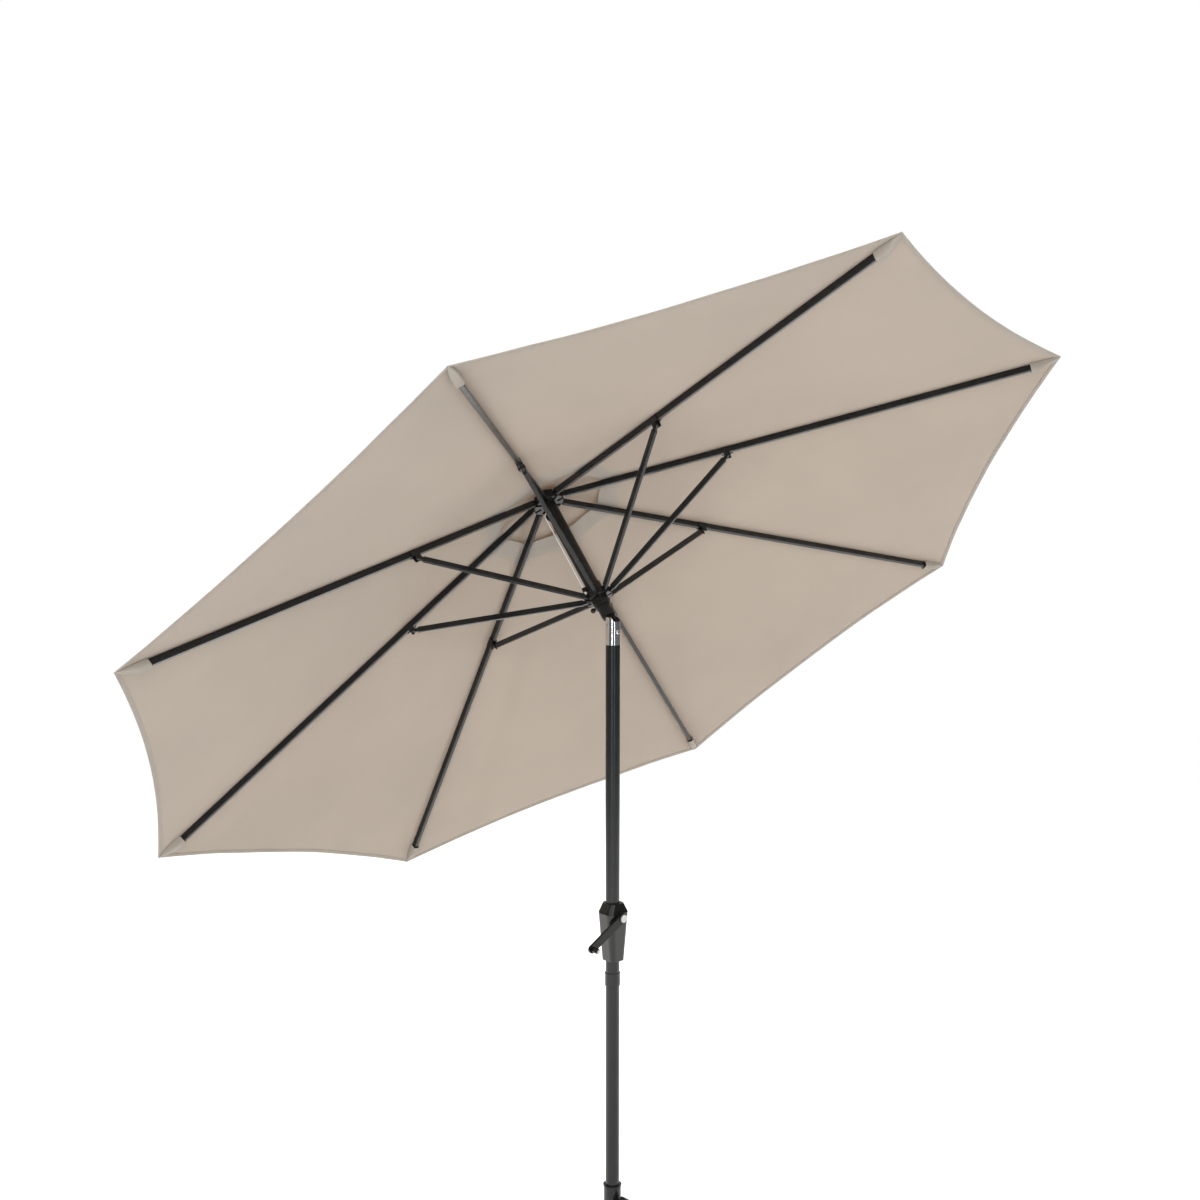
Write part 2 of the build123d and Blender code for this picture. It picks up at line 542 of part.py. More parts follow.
def make_ribs():
    rib, cap = rib_shape()
    strut, pin = strut_shape()
    r, z = bracket_point()
    rise = degrees(atan2(z - RUNNER_UP, r - RUNNER_PIVOT_R))
    for k in range(RIB_COUNT):
        place = Compound(children=[along_rib(s) for s in (*rib.solids(), *cap.solids())])
        save(f"rib_{k + 1}", on_mast(at_rib(k, place)))
        pieces = [Pos(RUNNER_PIVOT_R, 0, RUNNER_UP) * Rot(0, -rise, 0) * s
                  for s in (*strut.solids(), *pin.solids())]
        save(f"strut_{k + 1}", on_mast(at_rib(k, Compound(children=pieces))))


# ---- canopy ----
def cone_point(along, swing, lift=0.0):
    """Point of the pyramid: distance from the apex along a rib line, and angle from the rib."""
    half = radians(180.0 / RIB_COUNT)
    reach = along * cos(SLOPE)
    turned = reach * cos(half) / cos(half - abs(radians(swing)))
    angle = radians(swing)
    return Vector(turned * cos(angle), turned * sin(angle), APEX_UP + lift - along * sin(SLOPE))


def fold_angle(drop):
    """How far the ribs turn down about the hub when the runner drops, in radians."""
    r, z = bracket_point()
    strut = hypot(r - RUNNER_PIVOT_R, z - RUNNER_UP)
    arm = hypot(STRUT_AT, STRUT_DROP)
    across = HUB_PIVOT_R - RUNNER_PIVOT_R

    def arm_from_mast(runner_z):
        down = HUB_UP - runner_z
        reach = hypot(across, down)
        corner = acos((arm ** 2 + reach ** 2 - strut ** 2) / (2 * arm * reach))
        return corner - atan2(across, down)

    return arm_from_mast(RUNNER_UP) - arm_from_mast(RUNNER_UP - drop)


def gore_edge():
    """Angle of a gore's edge from its rib. It stays on its own side of the panel while the ribs fold."""
    half = radians(180.0 / RIB_COUNT)
    fold = fold_angle(RUNNER_TRAVEL)
    panel_drop = tan(SLOPE) / cos(half) ** 2
    return degrees(atan(tan(half) * (cos(fold) - sin(fold) * panel_drop)))


def half_gore(side, start, corner, sag, lift, thickness):
    """One half panel beside a rib, from the rib's line to just short of the middle of the panel."""
    swing = 180.0 / RIB_COUNT * side
    rib_in = cone_point(start, 0, lift)
    rib_out = cone_point(corner, 0, lift)
    mid_in = cone_point(start, swing, lift)
    mid_out = cone_point(corner - sag / cos(radians(180.0 / RIB_COUNT)), swing, lift)
    quarter = cone_point(corner - 0.72 * sag, swing * 0.5, lift)
    hem = ThreePointArc(rib_out, quarter, mid_out)
    wire = Wire([Line(rib_in, rib_out), hem, Line(mid_out, mid_in), Line(mid_in, rib_in)])
    panel = extrude(Face(wire), thickness, dir=(sin(SLOPE), 0, cos(SLOPE)))
    beyond = block(-10, 2000, 0, 500, -2000, 2000)
    if side < 0:
        beyond = mirror(beyond, Plane.XZ)
    trim = Pos(0, -side * GORE_GAP / 2, 0) * Rot(0, 0, side * gore_edge()) * beyond
    return panel - trim


def gore(start, corner, sag, lift, thickness):
    left = half_gore(1, start, corner, sag, lift, thickness)
    right = half_gore(-1, start, corner, sag, lift, thickness)
    return left + right


def rib_pocket():
    """Fabric pocket sewn under the corner, open towards the hub, holding the rib's end."""
    inside = RIB_LENGTH - 28
    side = RIB_W / 2 + 2
    outer = block(inside, RIB_LENGTH + 12, -side, side, -RIB_H / 2 - 1.6, COVER_LIFT + CANOPY_T / 4)
    room = block(inside - 5, RIB_LENGTH + SOFT_GAP, -RIB_W / 2 - SOFT_GAP, RIB_W / 2 + SOFT_GAP,
                 -RIB_H / 2 - SOFT_GAP, COVER_LIFT + CANOPY_T)
    return along_rib(outer - room)


def make_canopy():
    panel = gore(VENT_R, CORNER_AT, HEM_SAG, 0.0, CANOPY_T) + rib_pocket()
    for k in range(RIB_COUNT):
        save(f"canopy_gore_{k + 1}", on_mast(at_rib(k, panel)))
    cap = None
    for k in range(RIB_COUNT):
        swing = 360.0 / RIB_COUNT
        corners = [Vector(0, 0, APEX_UP + VENT_CAP_RISE)]
        for a in (0, swing):
            reach = VENT_CAP_R * cos(SLOPE)
            corners.append(Vector(reach * cos(radians(a)), reach * sin(radians(a)),
                                  APEX_UP + VENT_CAP_RISE - VENT_CAP_R * sin(SLOPE)))
        low = [c - Vector(0, 0, CANOPY_T) for c in corners]
        wedge = Solid(Shell([
            Face(Wire.make_polygon(corners)), Face(Wire.make_polygon(low)),
            Face(Wire.make_polygon([corners[0], corners[1], low[1], low[0]])),
            Face(Wire.make_polygon([corners[1], corners[2], low[2], low[1]])),
            Face(Wire.make_polygon([corners[2], corners[0], low[0], low[2]]))]))
        piece = at_rib(k, wedge)
        cap = piece if cap is None else cap + piece
    cap -= tube(6.0 + SEAT, 0, HUB_UP, APEX_UP + 60)
    save("vent_cap", on_mast(cap))


# ---- hoist cord ----
def make_cord():
    side = DRUM_R + 3 * CORD_R + 0.2
    start = Vector(side, 0, CRANK_Z)
    end = Vector(0, 0, PIVOT_Z - 1.0)
    line = Line(start, end)
    low = sweep(Plane(start, z_dir=end - start) * Circle(CORD_R), path=line)
    save("cord_in_pole", low)

    inner_r = PULLEY_OFF - PULLEY_R - CORD_R
    outer_r = PULLEY_OFF + PULLEY_R + CORD_R
    mid = PULLEY_OFF
    bend = PULLEY_R + CORD_R
    up = Line((inner_r, 0, 1.0), (inner_r, 0, PULLEY_UP))
    over = ThreePointArc((inner_r, 0, PULLEY_UP), (mid, 0, PULLEY_UP + bend), (outer_r, 0, PULLEY_UP))
    out = Line((outer_r, 0, PULLEY_UP), (outer_r, 0, PULLEY_UP - 6))
    path = Wire([up, over, out])
    inner = sweep(Plane((inner_r, 0, 1.0), z_dir=(0, 0, 1)) * Circle(CORD_R), path=path)
    save("cord_in_mast", on_mast(cord_side(inner)))
    run = Pos(outer_r, 0, (PULLEY_UP - 6 + RUNNER_TOP - 14) / 2) * Cylinder(
        CORD_R, PULLEY_UP - 6 - RUNNER_TOP + 14)
    knot = Pos(outer_r, 0, RUNNER_TOP - 12 - 3.6) * Sphere(3.5)
    save("cord_outside", on_mast(cord_side(run + knot)))


make_base()
make_socket()
make_poles()
make_housing()
make_crank()
make_tilt()
make_mast()
make_runner()
make_hub()
make_ribs()
make_canopy()
make_cord()
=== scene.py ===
import json
from math import atan2, cos, pi, radians, sin, tan

import bmesh
import bpy
from mathutils import Matrix, Vector, noise


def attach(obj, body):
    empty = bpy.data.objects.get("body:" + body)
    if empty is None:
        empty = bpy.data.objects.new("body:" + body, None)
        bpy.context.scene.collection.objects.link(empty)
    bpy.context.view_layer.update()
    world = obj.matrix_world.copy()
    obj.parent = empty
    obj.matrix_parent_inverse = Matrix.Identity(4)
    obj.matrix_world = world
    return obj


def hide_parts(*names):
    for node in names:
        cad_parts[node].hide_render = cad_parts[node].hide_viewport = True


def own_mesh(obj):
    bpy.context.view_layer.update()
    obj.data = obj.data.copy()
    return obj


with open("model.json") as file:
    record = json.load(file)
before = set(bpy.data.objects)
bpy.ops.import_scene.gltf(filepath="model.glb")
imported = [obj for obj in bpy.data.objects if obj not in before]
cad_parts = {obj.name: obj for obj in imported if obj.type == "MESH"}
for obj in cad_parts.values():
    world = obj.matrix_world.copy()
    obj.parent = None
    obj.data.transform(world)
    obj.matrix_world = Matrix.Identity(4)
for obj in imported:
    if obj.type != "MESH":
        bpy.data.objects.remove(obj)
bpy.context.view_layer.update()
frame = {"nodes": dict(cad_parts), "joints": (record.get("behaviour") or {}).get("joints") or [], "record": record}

# Metres, +Z up, origin on the floor under the pole. The crank faces -Y and the canopy leans to +Y.
RIB_COUNT = 8
RIB_LENGTH = 1.320
RIB_SLOPE = radians(15.8)
RIB_W = 0.012
RIB_H = 0.018
CORNER_REACH = 0.053       # corner of the cloth beyond the rib's end
CLOTH_LIFT = 0.0099        # underside of the cloth above a rib's centre line
CLOTH_T = 0.0009
HEM_SAG = 0.034
HEM_W = 0.011
BELLY = 0.007              # how far the middle of a panel hangs in
VENT_R = 0.165
VENT_CAP_R = 0.235
VENT_CAP_RISE = 0.014
VENT_CAP_SAG = 0.012       # its edge curves in between two panels' seams
VENT_CAP_BELLY = 0.004
VENT_HOLE_R = 0.007        # round the finial's stem
POCKET_IN = 0.030          # how far a corner pocket reaches in over its rib
THREAD = 0.0011            # pitch of the weave
STITCH = 0.0036            # length of one stitch with its gap
HALF_PANEL = pi / RIB_COUNT
FLOOR_R = 8.0
STRIP_AWAY = 5.6           # strip lights, from the pole

JOINTS = {j["name"]: j for j in frame["joints"]}
PIVOT = Vector(JOINTS["canopy_tilt"]["pos_m"])
ROOTS = [Vector(JOINTS[f"rib_fold_{k + 1}"]["pos_m"]) for k in range(RIB_COUNT)]
HUB = sum(ROOTS, Vector()) / RIB_COUNT
UP = (HUB - PIVOT).normalized()
ROOT_R = (ROOTS[0] - HUB).length
OUT = [(r - HUB).normalized() for r in ROOTS]
ALONG = [o * cos(RIB_SLOPE) - UP * sin(RIB_SLOPE) for o in OUT]
APEX = HUB + UP * (ROOT_R * tan(RIB_SLOPE) + CLOTH_LIFT / cos(RIB_SLOPE))
CORNER_AT = ROOT_R / cos(RIB_SLOPE) + CLOTH_LIFT * tan(RIB_SLOPE) + RIB_LENGTH + CORNER_REACH


# ---------------------------------------------------------------- material helpers
def new_material(name):
    material = bpy.data.materials.new(name)
    material.use_nodes = True
    nodes = material.node_tree.nodes
    nodes.clear()
    out = nodes.new("ShaderNodeOutputMaterial")
    shader = nodes.new("ShaderNodeBsdfPrincipled")
    material.node_tree.links.new(shader.outputs[0], out.inputs[0])
    return material, material.node_tree, shader


def link(tree, a, b):
    tree.links.new(a, b)


def add(tree, kind, **values):
    node = tree.nodes.new(kind)
    for key, value in values.items():
        if hasattr(node, key):
            setattr(node, key, value)
        else:
            node.inputs[key.replace("_", " ")].default_value = value
    return node


def object_coords(tree, scale=(1, 1, 1)):
    coords = tree.nodes.new("ShaderNodeTexCoord")
    mapping = tree.nodes.new("ShaderNodeMapping")
    mapping.inputs["Scale"].default_value = scale
    link(tree, coords.outputs["Object"], mapping.inputs["Vector"])
    return mapping.outputs["Vector"]


def noise_value(tree, vector, scale, detail=3.0, roughness=0.5):
    node = add(tree, "ShaderNodeTexNoise", Scale=scale, Detail=detail, Roughness=roughness)
    link(tree, vector, node.inputs["Vector"])
    return node.outputs["Fac"]


def ramp(tree, value, stops):
    node = tree.nodes.new("ShaderNodeValToRGB")
    marks = node.color_ramp.elements
    marks[0].position, marks[1].position = stops[0][0], stops[-1][0]
    for place, colour in stops[1:-1]:
        marks.new(place)
    for mark, (place, colour) in zip(marks, stops):
        mark.color = (*colour, 1.0)
    link(tree, value, node.inputs["Fac"])
    return node.outputs["Color"]


def span(tree, value, low, high):
    node = tree.nodes.new("ShaderNodeMapRange")
    node.inputs["To Min"].default_value = low
    node.inputs["To Max"].default_value = high
    link(tree, value, node.inputs["Value"])
    return node.outputs["Result"]


def maths(tree, operation, a, b=None):
    node = tree.nodes.new("ShaderNodeMath")
    node.operation = operation
    for socket, value in zip(node.inputs, (a, b)):
        if value is None:
            continue
        if isinstance(value, (int, float)):
            socket.default_value = value
        else:
            link(tree, value, socket)
    return node.outputs[0]


def blend_colour(tree, factor, a, b, mode="MIX"):
    node = tree.nodes.new("ShaderNodeMix")
    node.data_type = "RGBA"
    node.blend_type = mode
    for socket, value in ((node.inputs[0], factor), (node.inputs[6], a), (node.inputs[7], b)):
        if isinstance(value, (int, float)):
            socket.default_value = value
        elif isinstance(value, tuple):
            socket.default_value = (*value, 1.0)
        else:
            link(tree, value, socket)
    return node.outputs[2]


def bump(tree, shader, height, strength, distance):
    node = add(tree, "ShaderNodeBump", Strength=strength, Distance=distance)
    link(tree, height, node.inputs["Height"])
    link(tree, node.outputs["Normal"], shader.inputs["Normal"])
    return node


# ---------------------------------------------------------------- materials
def powder_coat(name, colour, roughness):
    """Baked black finish on steel tube: faint orange peel, worn a little lighter in places."""
    material, tree, shader = new_material(name)
    vector = object_coords(tree)
    cloud = noise_value(tree, vector, 9.0, 4.0, 0.6)
    tone = ramp(tree, cloud, [(0.3, colour), (0.75, tuple(c * 1.5 + 0.002 for c in colour))])
    link(tree, tone, shader.inputs["Base Color"])
    peel = noise_value(tree, vector, 650.0, 2.0, 0.5)
    smear = noise_value(tree, vector, 28.0, 5.0, 0.65)
    link(tree, span(tree, smear, roughness - 0.07, roughness + 0.10), shader.inputs["Roughness"])
    shader.inputs["Specular IOR Level"].default_value = 0.34
    shader.inputs["Coat Weight"].default_value = 0.10
    shader.inputs["Coat Roughness"].default_value = 0.22
    bump(tree, shader, peel, 0.03, 0.0003)
    return material


def moulded_plastic(name, colour, roughness, grain):
    """Moulded black plastic with a fine grain."""
    material, tree, shader = new_material(name)
    vector = object_coords(tree)
    cloud = noise_value(tree, vector, 35.0, 3.0, 0.55)
    tone = ramp(tree, cloud, [(0.3, colour), (0.8, tuple(c * 1.35 + 0.003 for c in colour))])
    link(tree, tone, shader.inputs["Base Color"])
    link(tree, span(tree, cloud, roughness - 0.05, roughness + 0.08), shader.inputs["Roughness"])
    shader.inputs["Specular IOR Level"].default_value = 0.28
    pits = noise_value(tree, vector, 1500.0, 2.0, 0.6)
    bump(tree, shader, pits, grain, 0.0003)
    return material


def gloss_plastic():
    material, tree, shader = new_material("gloss_black")
    vector = object_coords(tree)
    cloud = noise_value(tree, vector, 30.0, 4.0, 0.6)
    link(tree, ramp(tree, cloud, [(0.3, (0.0045, 0.0045, 0.004)), (0.8, (0.008, 0.008, 0.007))]),
         shader.inputs["Base Color"])
    link(tree, span(tree, cloud, 0.10, 0.20), shader.inputs["Roughness"])
    shader.inputs["Coat Weight"].default_value = 0.3
    shader.inputs["Specular IOR Level"].default_value = 0.35
    shader.inputs["Coat Roughness"].default_value = 0.06
    wave = noise_value(tree, vector, 60.0, 2.0, 0.4)
    bump(tree, shader, wave, 0.05, 0.001)
    return material


def bright_metal(name, colour, roughness, scratch):
    """Plated metal: fine scratches and a slightly cloudy polish."""
    material, tree, shader = new_material(name)
    cloud = noise_value(tree, object_coords(tree), 55.0, 4.0, 0.6)
    link(tree, ramp(tree, cloud, [(0.3, tuple(c * 0.86 for c in colour)), (0.75, colour)]),
         shader.inputs["Base Color"])
    shader.inputs["Metallic"].default_value = 1.0
    link(tree, span(tree, cloud, roughness * 0.7, roughness * 1.5), shader.inputs["Roughness"])
    lines = noise_value(tree, object_coords(tree, (260, 260, 12)), 6.0, 3.0, 0.6)
    bump(tree, shader, lines, scratch, 0.0003)
    return material


def rubber():
    material, tree, shader = new_material("rubber")
    vector = object_coords(tree)
    dust = noise_value(tree, vector, 40.0, 6.0, 0.7)
    link(tree, ramp(tree, dust, [(0.35, (0.018, 0.018, 0.018)), (0.8, (0.05, 0.048, 0.045))]),
         shader.inputs["Base Color"])
    shader.inputs["Roughness"].default_value = 0.85
    bump(tree, shader, noise_value(tree, vector, 900.0, 2.0, 0.5), 0.3, 0.0004)
    return material


def concrete():
    material, tree, shader = new_material("weight")
    vector = object_coords(tree)
    sand = noise_value(tree, vector, 180.0, 8.0, 0.75)
    link(tree, ramp(tree, sand, [(0.25, (0.30, 0.29, 0.275)), (0.7, (0.52, 0.51, 0.49))]),
         shader.inputs["Base Color"])
    shader.inputs["Roughness"].default_value = 0.92
    bump(tree, shader, sand, 0.6, 0.001)
    return material


def braid():
    """White braided cord."""
    material, tree, shader = new_material("cord")
    vector = object_coords(tree, (900, 900, 420))
    weave = add(tree, "ShaderNodeTexVoronoi", Scale=1.0)
    link(tree, vector, weave.inputs["Vector"])
    link(tree, ramp(tree, weave.outputs["Distance"], [(0.0, (0.86, 0.85, 0.82)), (0.9, (0.60, 0.59, 0.56))]),
         shader.inputs["Base Color"])
    shader.inputs["Roughness"].default_value = 0.75
    shader.inputs["Sheen Weight"].default_value = 0.3
    bump(tree, shader, weave.outputs["Distance"], 0.5, 0.0006)
    return material


def cloth(name, colour, glow, glow_share):
    """Woven polyester. Its threads, hem, stitches and the painted shade along the rib seams follow the panel's own
    map in metres.
    """
    material, tree, shader = new_material(name)
    uv = tree.nodes.new("ShaderNodeUVMap")
    uv.uv_map = "panel"
    split = tree.nodes.new("ShaderNodeSeparateXYZ")
    link(tree, uv.outputs["UV"], split.inputs[0])
    warp = maths(tree, "SINE", maths(tree, "MULTIPLY", split.outputs[0], 2 * pi / THREAD))
    weft = maths(tree, "SINE", maths(tree, "MULTIPLY", split.outputs[1], 2 * pi / THREAD))
    weave = maths(tree, "MULTIPLY", warp, weft)

    hem = tree.nodes.new("ShaderNodeAttribute")
    hem.attribute_name = "from_hem"
    seam = tree.nodes.new("ShaderNodeAttribute")
    seam.attribute_name = "from_rib"
    fold = maths(tree, "LESS_THAN", hem.outputs["Fac"], HEM_W)
    row = maths(tree, "LESS_THAN", maths(tree, "ABSOLUTE", maths(
        tree, "SUBTRACT", hem.outputs["Fac"], HEM_W - 0.003)), 0.0007)
    dash = maths(tree, "GREATER_THAN", maths(tree, "SINE", maths(
        tree, "MULTIPLY", split.outputs[0], 2 * pi / STITCH)), -0.25)
    stitch = maths(tree, "MULTIPLY", row, dash)
    # painted shade: a darker band within 11 mm of each rib line, where the seam allowances lie
    painted_rib_shade = maths(tree, "LESS_THAN", seam.outputs["Fac"], 0.011)

    big = noise_value(tree, object_coords(tree, (1, 1, 1)), 2.6, 5.0, 0.55)
    slub_along = object_coords(tree, (40, 400, 400))
    slub = noise_value(tree, slub_along, 1.0, 3.0, 0.6)
    tone = ramp(tree, big, [(0.25, tuple(c * 0.94 for c in colour)), (0.8, tuple(c * 1.05 for c in colour))])
    tone = blend_colour(tree, span(tree, slub, 0.0, 0.16), tone, tuple(c * 0.80 for c in colour))
    tone = blend_colour(tree, maths(tree, "MULTIPLY", fold, 0.05), tone, tuple(c * 0.74 for c in colour))
    # mixes in the painted shade along the rib seams
    tone = blend_colour(tree, maths(tree, "MULTIPLY", painted_rib_shade, 0.12), tone, tuple(c * 0.72 for c in colour))
    tone = blend_colour(tree, maths(tree, "MULTIPLY", stitch, 0.20), tone, tuple(c * 1.25 for c in colour))
    tone = blend_colour(tree, maths(tree, "MULTIPLY", maths(tree, "ADD", weave, 1.0), 0.05), tone,
                        tuple(c * 1.2 for c in colour))
    link(tree, tone, shader.inputs["Base Color"])
    shader.inputs["Roughness"].default_value = 0.82
    shader.inputs["Specular IOR Level"].default_value = 0.25
    shader.inputs["Sheen Weight"].default_value = 0.18
    shader.inputs["Sheen Roughness"].default_value = 0.45
    relief = maths(tree, "ADD", maths(tree, "MULTIPLY", weave, 0.25), maths(tree, "MULTIPLY", stitch, 1.6))
    relief = maths(tree, "ADD", relief, maths(tree, "MULTIPLY", fold, 1.5))
    node = bump(tree, shader, relief, 0.35, 0.0005)

    lit = tree.nodes.new("ShaderNodeBsdfTranslucent")
    link(tree, blend_colour(tree, 1.0, tone, glow, "MULTIPLY"), lit.inputs["Color"])
    link(tree, node.outputs["Normal"], lit.inputs["Normal"])
    mix = tree.nodes.new("ShaderNodeMixShader")
    mix.inputs[0].default_value = glow_share
    link(tree, shader.outputs[0], mix.inputs[1])
    link(tree, lit.outputs[0], mix.inputs[2])
    out = next(n for n in tree.nodes if n.type == "OUTPUT_MATERIAL")
    link(tree, mix.outputs[0], out.inputs[0])
    return material


TAUPE = (0.440, 0.402, 0.352)
MATERIALS = {
    "black_steel": powder_coat("black_steel", (0.005, 0.0055, 0.006), 0.19),
    "black_plastic": moulded_plastic("black_plastic", (0.005, 0.005, 0.005), 0.24, 0.05),
    "gloss_black": gloss_plastic(),
    "chrome": bright_metal("chrome", (0.86, 0.86, 0.88), 0.10, 0.05),
    "zinc_steel": bright_metal("zinc_steel", (0.58, 0.58, 0.57), 0.32, 0.25),
    "rubber": rubber(),
    "weight": concrete(),
    "cord": braid(),
    "canopy": cloth("canopy", TAUPE, (1.0, 0.83, 0.67), 0.38),
}


PLATED = {"crank_axle": "zinc_steel"}    # a duller finish than the chrome of the tilt joint


def finish_cad_nodes():
    slots = {s["node"]: s["material_slot"] for s in frame["record"]["subparts"]}
    for name, obj in frame["nodes"].items():
        obj.data.materials.clear()
        obj.data.materials.append(MATERIALS[PLATED.get(name, slots[name])])


# ---------------------------------------------------------------- canopy
def hem_at(across):
    """Where the hem is along the panel, at across from 0 on the rib to 1 in the middle of the panel."""
    w = abs(across) / 2
    return CORNER_AT - HEM_SAG * 4 * w * (1 - w) / cos(HALF_PANEL)


def wrinkle(point, along, across):
    """Slack of the stretched cloth: shallow pulls from the corners and the hub, almost none on a rib."""
    u = (along - VENT_R) / (CORNER_AT - VENT_R)
    free = min(1.0, abs(across) * 2.2)
    soft = noise.noise(point * 2.3) * 0.0035 + noise.noise(point * 6.5 + Vector((7, 3, 1))) * 0.0012
    pull = noise.noise(Vector((along * 1.2, across * 7.0, point.x * 0.4))) * 0.0016 * u
    return (soft + pull * (1 - abs(across))) * free


def cloth_point(k, along, across):
    """Underside of the cloth: rib k at across 0, middle of the panels beside it at -1 and 1."""
    side = (k + (1 if across >= 0 else -1)) % RIB_COUNT
    w = abs(across) / 2
    point = APEX + (ALONG[k] * (1 - w) + ALONG[side] * w) * along
    u = (along - VENT_R) / (CORNER_AT - VENT_R)
    belly = BELLY * 4 * w * (1 - w) * max(0.0, sin(pi * min(1.0, max(0.0, u)) * 0.9))
    return point - UP * belly + UP * wrinkle(point, along, across)


def panel_axes(k, side):
    other = (k + side) % RIB_COUNT
    across = (ALONG[other] - ALONG[k]).normalized()
    down = (ALONG[other] + ALONG[k]).normalized()
    return across * side, down


def write_cloth_map(mesh, k, places):
    """UV map in metres along each flat panel, so that the threads run as the cloth was cut."""
    uv = mesh.uv_layers.new(name="panel")
    for face in mesh.polygons:
        middle = sum(places[v][1] for v in face.vertices) / len(face.vertices)
        across, down = panel_axes(k, 1 if middle >= 0 else -1)
        for loop in face.loop_indices:
            offset = mesh.vertices[mesh.loops[loop].vertex_index].co - APEX
            uv.data[loop].uv = (offset.dot(across), offset.dot(down))


def write_distances(mesh, places):
    hem = mesh.attributes.new("from_hem", "FLOAT", "POINT")
    # from_rib is read by the cloth material for its painted shade band along the rib seams
    rib = mesh.attributes.new("from_rib", "FLOAT", "POINT")
    for i, (along, across) in enumerate(places):
        hem.data[i].value = hem_at(across) - along
        rib.data[i].value = abs(across) * along * tan(HALF_PANEL)


def mesh_object(name, bm, material, smooth=True):
    mesh = bpy.data.meshes.new(name)
    bm.to_mesh(mesh)
    bm.free()
    obj = bpy.data.objects.new(name, mesh)
    bpy.context.scene.collection.objects.link(obj)
    mesh.materials.append(material)
    for face in mesh.polygons:
        face.use_smooth = smooth
    return obj


def cloth_grid(k, rows, columns, low, high):
    """A grid over the gore, rows from the vent side out. low and high give along for each across."""
    bm = bmesh.new()
    bmesh.ops.create_grid(bm, x_segments=columns, y_segments=rows, size=1.0)
    places = []
    bm.verts.ensure_lookup_table()
    for vertex in bm.verts:
        across, t = vertex.co.x, (vertex.co.y + 1) / 2
        along = low(across) + (high(across) - low(across)) * t
        places.append((along, across))
        vertex.co = cloth_point(k, along, across)
    bm.normal_update()
    if sum((f.normal.dot(UP) for f in bm.faces)) < 0:
        bmesh.ops.reverse_faces(bm, faces=bm.faces)
    return bm, places


def close_cloth(mesh, thickness):
    """Gives a cloth surface its thickness, keeps its cut edges crisp, and returns the area of one side."""
    area = sum(face.area for face in mesh.polygons)
    bm = bmesh.new()
    bm.from_mesh(mesh)
    bmesh.ops.solidify(bm, geom=bm.faces, thickness=thickness)
    for edge in bm.edges:
        if len(edge.link_faces) == 2 and edge.calc_face_angle(0.0) > 0.9:
            edge.smooth = False
    bm.to_mesh(mesh)
    bm.free()
    return area


def fold_with_rib(obj, k):
    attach(obj, f"rib_arm_{k + 1}")
    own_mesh(obj)


def make_gore(k):
    bm, places = cloth_grid(k, 72, 40, lambda a: VENT_R, hem_at)
    obj = mesh_object(f"gore_{k + 1}", bm, MATERIALS["canopy"])
    write_cloth_map(obj.data, k, places)
    write_distances(obj.data, places)
    obj["cut_area"] = close_cloth(obj.data, -CLOTH_T)
    return obj


def make_hem(k):
    """The turned-up hem, a second layer under the edge."""
    bm, places = cloth_grid(k, 3, 40, lambda a: hem_at(a) - HEM_W, hem_at)
    for vertex in bm.verts:
        vertex.co -= UP * 0.0001
    obj = mesh_object(f"hem_{k + 1}", bm, MATERIALS["canopy"])
    write_cloth_map(obj.data, k, places)
    write_distances(obj.data, places)
    close_cloth(obj.data, 0.0012)
    return obj


def rib_frame(k):
    """Matrix from a frame with +X out along the rib from its pivot, +Z towards the cloth."""
    z = (UP * cos(RIB_SLOPE) + OUT[k] * sin(RIB_SLOPE)).normalized()
    y = z.cross(ALONG[k]).normalized()
    turn = Matrix((ALONG[k], y, z)).transposed().to_4x4()
    return Matrix.Translation(ROOTS[k]) @ turn


def make_pocket(k):
    """Sewn pocket under the corner: a flattened sleeve, open to the hub, that the rib's end sits in."""
    bm = bmesh.new()
    length = CORNER_REACH + POCKET_IN
    bmesh.ops.create_grid(bm, x_segments=14, y_segments=12, size=1.0)
    for vertex in bm.verts:
        t = (vertex.co.x + 1) / 2
        angle = vertex.co.y * pi * 0.5
        narrow = 1.0 - 0.97 * max(0.0, (t - 0.42) / 0.58) ** 1.5
        pinch = 1.0 + 0.10 * sin(t * 9.0 + k)
        half = (RIB_W / 2 + 0.0045) * narrow * pinch
        depth = (RIB_H + 0.0035) * (1.0 - 0.96 * max(0.0, (t - 0.36) / 0.64) ** 0.9)
        square = abs(cos(angle)) ** 0.45
        x = RIB_LENGTH - POCKET_IN + t * length
        y = half * (1 if angle >= 0 else -1) * abs(sin(angle)) ** 0.45
        top = CLOTH_LIFT - abs(y) * sin(RIB_SLOPE) * tan(HALF_PANEL)
        vertex.co = (x, y, top - depth * square - 0.0002)
    bmesh.ops.smooth_vert(bm, verts=bm.verts, factor=0.25, use_axis_x=True, use_axis_y=True, use_axis_z=True)
    bmesh.ops.transform(bm, matrix=rib_frame(k), verts=bm.verts)
    obj = mesh_object(f"pocket_{k + 1}", bm, MATERIALS["canopy"])
    uv = obj.data.uv_layers.new(name="panel")
    for loop in obj.data.loops:
        offset = obj.data.vertices[loop.vertex_index].co - APEX
        uv.data[loop.index].uv = (offset.dot(OUT[(k + 2) % RIB_COUNT]), offset.dot(ALONG[k]))
    flat = obj.data.attributes.new("from_hem", "FLOAT", "POINT")
    rib = obj.data.attributes.new("from_rib", "FLOAT", "POINT")
    for i in range(len(obj.data.vertices)):
        flat.data[i].value = 1.0
        rib.data[i].value = 1.0
    close_cloth(obj.data, CLOTH_T)
    return obj


def make_canopy():
    for k in range(RIB_COUNT):
        gore = make_gore(k)
        hem = make_hem(k)
        pocket = make_pocket(k)
        for piece in (gore, hem, pocket):
            fold_with_rib(piece, k)
        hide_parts(f"canopy_gore_{k + 1}")


